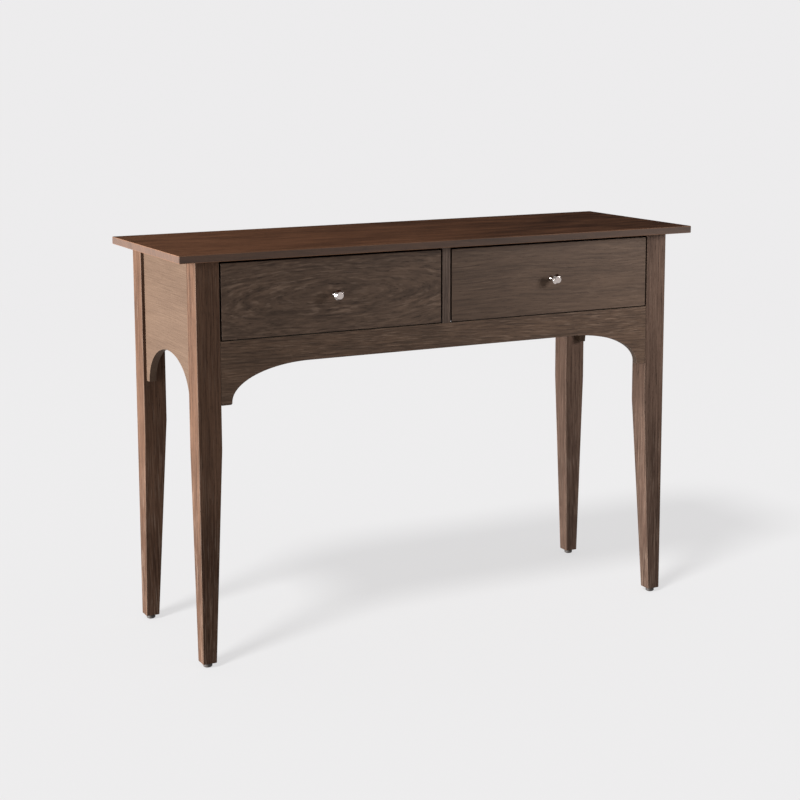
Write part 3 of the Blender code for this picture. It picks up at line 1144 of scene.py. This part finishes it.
@dataclass
class Case:
    """The boards round the drawers: apron, side panels, back and middle post."""

    ease: float = 0.0005
    inner_ease: float = 0.0008
    apron_underside: float = 0.554
    apron_tip: float = 0.021
    apron_curve: float = 0.153
    apron_curve_foot: float = 0.4895
    apron_tip_ease: float = 0.0035
    apron_corner: float = 0.0006
    side_crown: float = 0.563
    side_tip: float = 0.015
    side_tip_ease: float = 0.002
    steps: int = 36

    def apron(self, shop: Workshop) -> None:
        """Makes the apron: its lower edge is straight, then a quarter ellipse down.

        Args:
            shop: The workshop.
        """
        low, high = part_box("front_apron")
        tip = high.x - self.apron_tip + GAP
        rise = self.apron_underside - self.apron_curve_foot
        t = np.linspace(0, math.pi / 2, self.steps)
        across = tip - self.apron_curve * (1 - np.cos(t))
        curve = np.stack([across, self.apron_curve_foot + rise * np.sin(t)], axis=1)
        right = [(tip, low.z), (high.x, low.z), (high.x, high.z)]
        left = [(low.x, high.z), (low.x, low.z), (-tip, low.z)]
        corners = [*right, *left, *(curve * (-1, 1)).tolist(), *curve[::-1].tolist()]
        radii = np.zeros(len(corners))
        radii[:6] = self.apron_corner
        radii[[0, 5]] = self.apron_tip_ease
        shape = slab(View.FRONT, softened(corners, radii), low.y, high.y, self.ease)
        shop.dress("front_apron", "board", shape, APRON_WOOD, STAINED)

    def side_panel(self, shop: Workshop, node: str) -> None:
        """Makes a side panel: its lower edge is half an ellipse between two tips.

        Args:
            shop: The workshop.
            node: The panel's node.
        """
        low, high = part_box(node)
        middle = (low.y + high.y) / 2
        half = (high.y - low.y) / 2 - self.side_tip
        rise = self.side_crown - low.z
        t = np.linspace(math.pi, 0, 2 * self.steps)
        curve = np.stack([middle + half * np.cos(t), low.z + rise * np.sin(t)], axis=1)
        ends = [(high.y, low.z), (high.y, high.z), (low.y, high.z), (low.y, low.z)]
        corners = [*ends, *curve.tolist()]
        radii = np.zeros(len(corners))
        radii[[4, -1]] = self.side_tip_ease
        shape = slab(View.SIDE, softened(corners, radii), low.x, high.x, self.ease)
        shop.dress(node, "board", shape, PANEL_WOOD, STAINED)

    def build(self, shop: Workshop) -> None:
        """Makes every board of the case.

        Args:
            shop: The workshop.
        """
        self.apron(shop)
        for side, _ in SIDES:
            self.side_panel(shop, f"side_panel_{side}")
        for node, wood in (("back_panel", BACK_WOOD), ("centre_stile", STILE_WOOD)):
            shop.board(node, View.FRONT, self.ease, self.ease, wood, STAINED)
        ease = self.inner_ease
        for node in ("centre_divider", "slide_cleat_left", "slide_cleat_right"):
            shop.board(node, View.SIDE, ease, ease, BOX_WOOD, HARDWOOD)


@dataclass
class Screw:
    """A pan-headed screw, of which only the head shows."""

    radius: float = 0.0038
    height: float = 0.0019
    skirt: float = 0.0004
    bulge: float = 0.0003
    under: float = 0.7

    def head(self, foot: tuple, way: tuple) -> Shape:
        """The domed head: a quarter ellipse spun round.

        Args:
            foot: The middle of the face that it sits on.
            way: The direction in which it stands off that face.

        Returns:
            The head.
        """
        t = np.linspace(0, math.pi / 2, 7)
        r, skirt = self.radius, self.skirt
        dome = np.stack([r * np.cos(t) + self.bulge, skirt + self.height * np.sin(t)], 1)
        seat = [(r * self.under, 0.0), (r + self.bulge, 0.0)]
        return spun(np.concatenate([seat, dome]), foot, way, sides=24)

    def row(self, feet: list[tuple], ways: list[tuple]) -> Shape:
        """Several heads as one mesh."""
        first, *others = (self.head(foot, way) for foot, way in zip(feet, ways))
        return first.joined(*others)


@dataclass
class Fixings:
    """Corner blocks with their bolts and nuts, and brackets under the top."""

    screw: Screw
    leg: float = LEG_WIDTH
    block_ease: float = 0.0012
    bolt_radius: float = 0.003
    thread_depth: float = 0.00035
    thread_steps: int = 60
    nut_radius: float = 0.00575
    nut_height: float = 0.005
    nut_bevel: tuple[float, float] = (0.0012, 0.0007)
    arm: float = 0.022
    steel: float = 0.0015
    steel_ease: float = 0.0003
    inner_bend: float = 0.0008
    screw_share: float = 0.62

    def block(self, shop: Workshop, name: str, corner: tuple, signs: tuple) -> None:
        """Makes one corner block: its plan is the leg's notch and a slanting face.

        Args:
            shop: The workshop.
            name: The corner's name, such as front_left.
            corner: The leg's outer corner (x, y).
            signs: Which way (x, y) run inwards.
        """
        node = f"corner_block_{name}"
        low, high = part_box(node)
        inwards = np.array(signs)
        near = np.where(inwards > 0, low[:2], high[:2])
        far = np.where(inwards > 0, high[:2], low[:2])
        leg = np.array(corner) + inwards * (self.leg + GAP)
        corners = [(leg[0], near[1]), (far[0], near[1]), (near[0], far[1])]
        corners += [(near[0], leg[1]), (leg[0], leg[1])]
        mirrored = signs[0] * signs[1] < 0
        turned = corners[::-1] if mirrored else corners
        outline = softened(turned, self.block_ease, steps=3)
        shape = slab(View.PLAN, outline, low.z, high.z, self.block_ease)
        shop.dress(node, "wood", shape, BLOCK_WOOD, HARDWOOD)

    def bolt_and_nut(self, shop: Workshop, name: str, corner: tuple, signs: tuple) -> None:
        """Makes a corner's bolt and nut on the leg's diagonal.

        The bolt's radius goes up and down along it for the thread, and its last
        two steps draw in. The nut is a six-sided turning.

        Args:
            shop: The workshop.
            name: The corner's name.
            corner: The leg's outer corner (x, y).
            signs: Which way (x, y) run inwards.
        """
        low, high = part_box(f"corner_block_{name}")
        way = (*signs, 0)
        unit = np.array(way) / math.sqrt(2)
        inner = np.array([*(np.array(corner) + np.array(signs) * self.leg), 0.0])
        inner[2] = (low.z + high.z) / 2

        def span(part: str) -> tuple[float, float]:
            """How far along the diagonal a fixing reaches.

            Args:
                part: The fixing's node.

            Returns:
                Where it starts and where it ends.
            """
            a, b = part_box(part)
            spots = np.array([(a.x, a.y), (b.x, b.y), (a.x, b.y), (b.x, a.y)])
            along = (spots - inner[:2]) @ unit[:2]
            return float(along.min()), float(along.max())

        node, r = f"leg_bolt_{name}", self.bolt_radius
        start, stop = span(node)
        start, stop = start + r, stop - r
        thread = r - self.thread_depth * (np.arange(self.thread_steps) % 2)
        thread[-2:] = r * 0.8, r * 0.6
        heights = np.linspace(0.0, stop - start, self.thread_steps)
        profile = np.stack([thread, heights], axis=1)
        shape = spun(profile, tuple(inner + unit * start), way, sides=20)
        shop.dress(node, "steel", shape, ZINC, ZINC_SLOT)

        node, r, h = f"leg_nut_{name}", self.nut_radius, self.nut_height
        foot = inner + unit * (sum(span(node)) / 2 - h / 2)
        draw, rise = self.nut_bevel
        corners = [(r - draw, 0), (r, rise), (r, h - rise), (r - draw, h)]
        shape = spun(np.array(corners), tuple(foot), way, sides=6)
        shop.dress(node, "steel", shape, ZINC, ZINC_SLOT)

    def bracket(self, shop: Workshop, node: str, out: tuple) -> None:
        """Makes an angle bracket with a bent corner and a screw in each arm.

        Args:
            shop: The workshop.
            node: The bracket's node.
            out: The direction (x, y) in which its upper arm leaves the board.
        """
        low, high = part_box(node)
        axis, along = (0, 1) if out[0] else (1, 0)
        sign = out[axis]
        heel = (low if sign > 0 else high)[axis]
        arm, steel, thin = self.arm, self.steel, self.steel_ease
        corners = [(0, 0), (0, -arm), (steel, -arm)]
        corners += [(steel, -steel), (arm, -steel), (arm, 0)]
        radii = [steel + self.inner_bend, thin, thin, self.inner_bend, thin, thin]
        outline = softened(corners, radii) * (sign, 1) + (heel, high.z)
        view = View.SIDE if axis else View.FRONT
        start, stop = low[along], high[along]
        shape = slab(view, outline[::sign], start, stop, thin)
        shop.dress(node, "steel", shape, ZINC, ZINC_SLOT)

        def spot(away: float, height: float) -> tuple:
            """A point half way along the bracket.

            Args:
                away: Its place on the axis that the upper arm points along.
                height: Its height.

            Returns:
                The point.
            """
            place = [(start + stop) / 2, (start + stop) / 2, height]
            place[axis] = away
            return tuple(place)

        under = spot(heel + sign * arm * self.screw_share, high.z - steel)
        inside = spot(heel + sign * steel, high.z - arm * self.screw_share)
        heads = self.screw.row([under, inside], [(0, 0, -1), (*out, 0)])
        shop.add(f"{node}.screws", heads, ZINC, ZINC_SLOT, shop.body_of(node))

    def build(self, shop: Workshop) -> None:
        """Makes the fixings of all four corners and the four brackets.

        Args:
            shop: The workshop.
        """
        for corner in table_corners():
            self.block(shop, *corner)
            self.bolt_and_nut(shop, *corner)
        for side, sign in SIDES:
            self.bracket(shop, f"top_bracket_side_{side}", (-sign, 0))
            self.bracket(shop, f"top_bracket_back_{side}", (0, -1))


@dataclass
class Slides:
    """Ball-bearing slides: a rolled channel on the case and one on the drawer."""

    screw: Screw
    steel: float = 0.0012
    bend: float = 0.0018
    lip_ease: float = 0.0005
    end_ease: float = 0.0003
    screw_places: tuple = (0.030, 0.215)

    def channel(self, low: Vector, high: Vector, sign: int) -> Shape:
        """A rolled steel channel that runs from front to back.

        Its section is a flat web with two arms, and every bend is an arc.

        Args:
            low: The lowest corner of its box.
            high: The highest corner of its box.
            sign: 1 if its arms point towards +X, and -1 towards -X.

        Returns:
            The channel.
        """
        steel, lip = self.steel, self.lip_ease
        depth = high.x - low.x
        corners = [
            (0, low.z),
            (depth, low.z),
            (depth, low.z + steel),
            (steel, low.z + steel),
            (steel, high.z - steel),
            (depth, high.z - steel),
            (depth, high.z),
            (0, high.z),
        ]
        inside = self.bend - steel
        radii = [self.bend, lip, lip, inside, inside, lip, lip, self.bend]
        back = low.x if sign > 0 else high.x
        outline = softened(corners, radii) * (sign, 1) + (back, 0)
        return slab(View.FRONT, outline[::sign], low.y, high.y, self.end_ease)

    def member(self, shop: Workshop, part: str, where: str, sign: int) -> None:
        """Makes one channel and the screws in its web.

        Args:
            shop: The workshop.
            part: case or drawer, which it is screwed to.
            where: The slide's name, such as left_outer.
            sign: Which way its arms point along X.
        """
        node = f"slide_{part}_member_{where}"
        low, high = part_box(node)
        shop.dress(node, "steel", self.channel(low, high, sign), ZINC, ZINC_SLOT)
        web = (low.x if sign > 0 else high.x) + sign * self.steel
        middle = (low.z + high.z) / 2
        feet = [(web, low.y + at, middle) for at in self.screw_places]
        heads = self.screw.row(feet, [(sign, 0, 0)] * len(feet))
        name = f"slide_{part}_screws_{where}"
        shop.add(name, heads, ZINC, ZINC_SLOT, shop.body_of(node))

    def build(self, shop: Workshop) -> None:
        """Makes both channels of all four slides, which open towards each other.

        Args:
            shop: The workshop.
        """
        for side, sign in SIDES:
            for place, inwards in (("outer", -sign), ("inner", sign)):
                self.member(shop, "case", f"{side}_{place}", inwards)
                self.member(shop, "drawer", f"{side}_{place}", -inwards)


@dataclass
class Knob:
    """A small turned knob with a flat face, held by a screw from inside."""

    bore: float = 0.0030
    rose: float = 0.0052
    rose_height: float = 0.0013
    neck: float = 0.0032
    neck_start: float = 0.0050
    neck_stop: float = 0.0110
    rim: float = 0.0102
    rim_depth: float = 0.0050
    rim_width: float = 0.0008
    face: float = 0.0067
    length: float = 0.0247
    screw_shank: float = 0.0018
    screw_reach: float = 0.010
    screw_radius: float = 0.0042
    screw_height: float = 0.0025
    screw_round: float = 0.0012

    def profile(self) -> np.ndarray:
        """The knob's outline from its rose to its face.

        Returns:
            Rows of radius and height.
        """
        shoulder = self.length - self.rim_depth
        back = shoulder - self.rim_width
        corners = [
            (self.bore, 0.0),
            (self.rose, 0.0),
            (self.rose, self.rose_height),
            (self.neck, self.neck_start),
            (self.neck, self.neck_stop),
            (self.rim - 0.0010, back - 0.0008),
            (self.rim, back),
            (self.rim, shoulder),
            (self.face, self.length),
            (POLE, self.length),
        ]
        radii = [0, 0.0003, 0.0003, 0.0030, 0.0030, 0.0008, 0.0004, 0.0010, 0.0006, 0]
        return softened(corners, radii, steps=6)

    def screw_profile(self) -> np.ndarray:
        """The screw's outline: its shank, a quarter-round head and its recess.

        Returns:
            Rows of radius and height.
        """
        r, h, ease = self.screw_radius, self.screw_height, self.screw_round
        t = np.linspace(0, math.pi / 2, 8)
        dome = np.stack([r - ease + ease * np.cos(t), h - ease + ease * np.sin(t)], 1)
        shank = [(self.screw_shank, -self.screw_reach), (self.screw_shank, 0.0), (r, 0.0)]
        recess = [(0.0014, h), (0.0009, h - 0.0013)]
        return np.concatenate([shank, dome, recess])

    def build(self, shop: Workshop, drawer: str) -> None:
        """Makes the knob and its screw for one drawer.

        Args:
            shop: The workshop.
            drawer: The drawer's body.
        """
        node = f"{drawer}_knob"
        low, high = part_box(node)
        x, z = (low.x + high.x) / 2, (low.z + high.z) / 2
        shape = spun(self.profile(), (x, high.y, z), (0, -1, 0), sides=64)
        shop.dress(node, "nickel", shape, NICKEL, NICKEL_SLOT)
        node = f"{drawer}_knob_screw"
        foot = (x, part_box(node)[1].y - self.screw_height, z)
        shape = spun(self.screw_profile(), foot, (0, 1, 0), sides=28)
        shop.dress(node, "steel", shape, ZINC, ZINC_SLOT)


@dataclass
class Drawer:
    """One drawer: a stained front on a pale box with a let-in bottom."""

    side: str
    front_wood: Timber
    groove: float = 0.006
    groove_ease: float = 0.0004
    front_ease: float = 0.0009
    side_ease: float = 0.0006
    lower_ease: float = 0.001
    upper_ease: float = 0.0025
    back_ease: float = 0.0005
    face_ease: float = 0.0004
    sheet_corner: float = 0.0006

    @property
    def name(self) -> str:
        """The drawer's body."""
        return f"drawer_{self.side}"

    def box_side(self, shop: Workshop, hand: str, sign: int) -> None:
        """Makes one side of the box, with the groove that holds the bottom.

        Args:
            shop: The workshop.
            hand: left or right.
            sign: -1 for the left side and 1 for the right.
        """
        node = f"{self.name}_side_{hand}"
        low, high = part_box(node)
        sheet_low, sheet_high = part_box(f"{self.name}_bottom")
        outer, inner = (low.x, high.x) if sign < 0 else (high.x, low.x)
        groove = inner + sign * self.groove
        corners = [
            (inner, low.z),
            (outer, low.z),
            (outer, high.z),
            (inner, high.z),
            (inner, sheet_high.z + GAP),
            (groove, sheet_high.z + GAP),
            (groove, sheet_low.z - GAP),
            (inner, sheet_low.z - GAP),
        ]
        lower, upper, lip = self.lower_ease, self.upper_ease, self.groove_ease
        radii = [lower, lower, upper, upper, lip, 0, 0, lip]
        outline = softened(corners[::sign], radii[::sign])
        shape = slab(View.FRONT, outline, low.y, high.y, self.side_ease)
        shop.dress(node, "board", shape, BOX_WOOD, HARDWOOD)

    def box_back(self, shop: Workshop) -> None:
        """Makes the back of the box, whose top edge is rounded more.

        Args:
            shop: The workshop.
        """
        node = f"{self.name}_back"
        low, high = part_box(node)
        corners = [(low.y, low.z), (high.y, low.z), (high.y, high.z), (low.y, high.z)]
        radii = [self.back_ease] * 2 + [self.upper_ease] * 2
        shape = slab(View.SIDE, softened(corners, radii), low.x, high.x, self.face_ease)
        shop.dress(node, "board", shape, BOX_BACK_WOOD, HARDWOOD)

    def build(self, shop: Workshop, knob: Knob) -> None:
        """Makes the whole drawer.

        Args:
            shop: The workshop.
            knob: The knob that it wears.
        """
        ease = self.front_ease
        shop.board(f"{self.name}_front", View.FRONT, ease, ease, self.front_wood, STAINED)
        for hand, sign in SIDES:
            self.box_side(shop, hand, sign)
        self.box_back(shop)
        shop.board(
            f"{self.name}_bottom",
            View.PLAN,
            self.sheet_corner,
            self.face_ease,
            SHEET_WOOD,
            HARDWOOD,
            "sheet",
        )
        knob.build(shop, self.name)


# --------------------------------------------------------------------- studio


@dataclass(frozen=True)
class Panel:
    """A rectangular soft lamp: where it hangs, what it faces, its size and watts."""

    name: str
    place: tuple
    target: tuple
    size: tuple
    power: float


@dataclass(frozen=True)
class Sun:
    """A far lamp: where its light comes from, its strength and its width in degrees."""

    name: str
    source: tuple
    strength: float
    spread: float


@dataclass
class Studio:
    """A pale floor that melts into the backdrop, soft lamps and the camera.

    The panels light neither the floor, so that it stays even, nor the pieces whose
    names hold one of the shaded words. The sun only throws the floor's shadow.
    """

    key: Panel = Panel("key_left", (-4.6, 0.2, 0.95), (0, 0, 0.5), (1.8, 1.9), 1080)
    fill: Panel = Panel("fill_right", (1.0, -1.0, 1.0), (0.25, 0, 0.6), (0.4, 0.4), 17.5)
    shade: Sun = Sun("floor_shade", (-0.47, -0.26, 0.65), 2.95, 13.0)
    shaded: tuple = ("side_panel_right", "_side_", "_bottom", "_back.", "slide_")
    backdrop: Colour = (0.845, 0.838, 0.845)
    sky_low: float = 0.03
    sky_high: float = 0.50
    floor_radius: float = 9.0
    floor_share: float = 0.235
    floor_albedo: float = 0.80
    floor_near: float = 1.6
    floor_far: float = 4.5
    floor_sides: int = 96
    azimuth: float = -27.09
    elevation: float = 8.96
    roll: float = -0.19
    distance: float = 3.445
    aim: tuple = (-0.0206, -0.002, 0.5791)
    lens: float = 78.75
    shift_y: float = -0.0948
    sensor: float = 36.0

    def floor(self) -> bpy.types.Object:
        """Lays a round floor that shows soft shadows near the table only.

        Returns:
            The floor.
        """
        t = np.linspace(0, 2 * math.pi, self.floor_sides, endpoint=False)
        rim = np.stack([np.cos(t), np.sin(t), 0 * t], axis=1) * self.floor_radius
        mesh = bpy.data.meshes.new("studio_floor")
        mesh.from_pydata(rim.tolist(), [], [list(range(len(rim)))])
        made, bench = bench_for("studio floor")
        x, y, _ = bench.place()
        away = (x * x + y * y).root()
        share = away.between(self.floor_far, self.floor_near) * self.floor_share
        glow = bench.node("ShaderNodeEmission", {}, {"Color": self.backdrop})
        matt = bench.node(
            "ShaderNodeBsdfDiffuse", {}, {"Color": (self.floor_albedo,) * 3}
        )
        mixed = bench.node(
            "ShaderNodeMixShader", {}, {0: share, 1: glow.outputs[0], 2: matt.outputs[0]}
        )
        bench.node("ShaderNodeOutputMaterial", {}, {0: mixed.outputs[0]})
        mesh.materials.append(made)
        floor = bpy.data.objects.new("studio_floor", mesh)
        bpy.context.scene.collection.objects.link(floor)
        return floor

    def sky(self) -> None:
        """Fills the room with even light behind an even backdrop."""
        world = bpy.data.worlds.new("studio")
        world.use_nodes = True
        bench = Bench(world.node_tree)
        seen = bench.node("ShaderNodeBackground", {}, {0: self.backdrop})
        coords = bench.node("ShaderNodeTexCoord", {}, {})
        split = bench.node("ShaderNodeSeparateXYZ", {}, {0: coords.outputs["Generated"]})
        up = Value(bench, split.outputs[2]).between(-0.1, 1.0)
        low, high = (self.sky_low,) * 3, (self.sky_high,) * 3
        lit = bench.node("ShaderNodeBackground", {}, {0: bench.mix(up, low, high)})
        path = bench.node("ShaderNodeLightPath", {}, {})
        mixed = bench.node(
            "ShaderNodeMixShader",
            {},
            {0: path.outputs["Is Camera Ray"], 1: lit.outputs[0], 2: seen.outputs[0]},
        )
        bench.node("ShaderNodeOutputWorld", {}, {0: mixed.outputs[0]})
        bpy.context.scene.world = world

    def sun(self, sun: Sun) -> Lamp:
        """Hangs a far lamp whose light is even everywhere.

        Args:
            sun: What it is like.

        Returns:
            The lamp.
        """
        data = bpy.data.lights.new(sun.name, "SUN")
        data.energy = sun.strength
        data.angle = math.radians(sun.spread)
        return self.hung(data, (0.0, 0.0, 2.0), -Vector(sun.source))

    def panel(self, panel: Panel) -> Lamp:
        """Hangs a rectangular soft lamp.

        Args:
            panel: What it is like.

        Returns:
            The lamp.
        """
        data = bpy.data.lights.new(panel.name, "AREA")
        data.shape = "RECTANGLE"
        data.size, data.size_y = panel.size
        data.energy = panel.power
        return self.hung(data, panel.place, Vector(panel.target) - Vector(panel.place))

    def hung(self, data: bpy.types.Light, place: tuple, way: Vector) -> Lamp:
        """Puts up a lamp that no camera sees.

        Args:
            data: The light itself.
            place: Where its middle is.
            way: The direction that it faces.

        Returns:
            The lamp.
        """
        lamp = bpy.data.objects.new(data.name, data)
        lamp.location = place
        lamp.rotation_mode = "QUATERNION"
        lamp.rotation_quaternion = way.to_track_quat("-Z", "Y")
        lamp.visible_camera = False
        bpy.context.scene.collection.objects.link(lamp)
        return lamp

    def light(self, floor: bpy.types.Object) -> None:
        """Lights the table with two soft panels, and the floor with its own lamp.

        Args:
            floor: The floor.
        """
        only_floor = bpy.data.collections.new("floor_light")
        only_floor.objects.link(floor)
        not_floor = bpy.data.collections.new("table_light")
        for thing in bpy.data.objects:
            if thing is floor or any(word in thing.name for word in self.shaded):
                not_floor.objects.link(thing)
        for entry in not_floor.collection_objects:
            entry.light_linking.link_state = "EXCLUDE"
        for panel in (self.key, self.fill):
            self.panel(panel).light_linking.receiver_collection = not_floor
        self.sun(self.shade).light_linking.receiver_collection = only_floor

    def camera(self) -> None:
        """Stands the camera where the table is seen from its front left."""
        a, e = math.radians(self.azimuth), math.radians(self.elevation)
        back = Vector(
            (math.sin(a) * math.cos(e), -math.cos(a) * math.cos(e), math.sin(e))
        )
        data = bpy.data.cameras.new("camera")
        data.sensor_width = self.sensor
        data.lens = self.lens
        data.shift_y = self.shift_y
        data.clip_start, data.clip_end = 0.05, 60.0
        camera = bpy.data.objects.new("camera", data)
        camera.location = Vector(self.aim) + back * self.distance
        camera.rotation_mode = "QUATERNION"
        turn = Quaternion((0, 0, 1), math.radians(self.roll))
        camera.rotation_quaternion = (-back).to_track_quat("-Z", "Y") @ turn
        bpy.context.scene.collection.objects.link(camera)
        bpy.context.scene.camera = camera

    def build(self) -> None:
        """Sets up the floor, the light and the camera."""
        self.light(self.floor())
        self.sky()
        self.camera()
        bpy.context.scene.view_settings.view_transform = "Standard"


def main() -> None:
    """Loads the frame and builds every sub-assembly."""
    logging.basicConfig(level=logging.INFO, format="%(message)s")
    shop = Workshop(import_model())
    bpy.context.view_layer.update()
    Tabletop().build(shop)
    Legs().build(shop)
    Case().build(shop)
    screw = Screw()
    Fixings(screw).build(shop)
    Slides(screw).build(shop)
    knob = Knob()
    Drawer("left", FRONT_LEFT_WOOD).build(shop, knob)
    Drawer("right", FRONT_RIGHT_WOOD).build(shop, knob)
    Studio().build()
    bpy.context.view_layer.update()


if __name__ == "__main__":
    main()
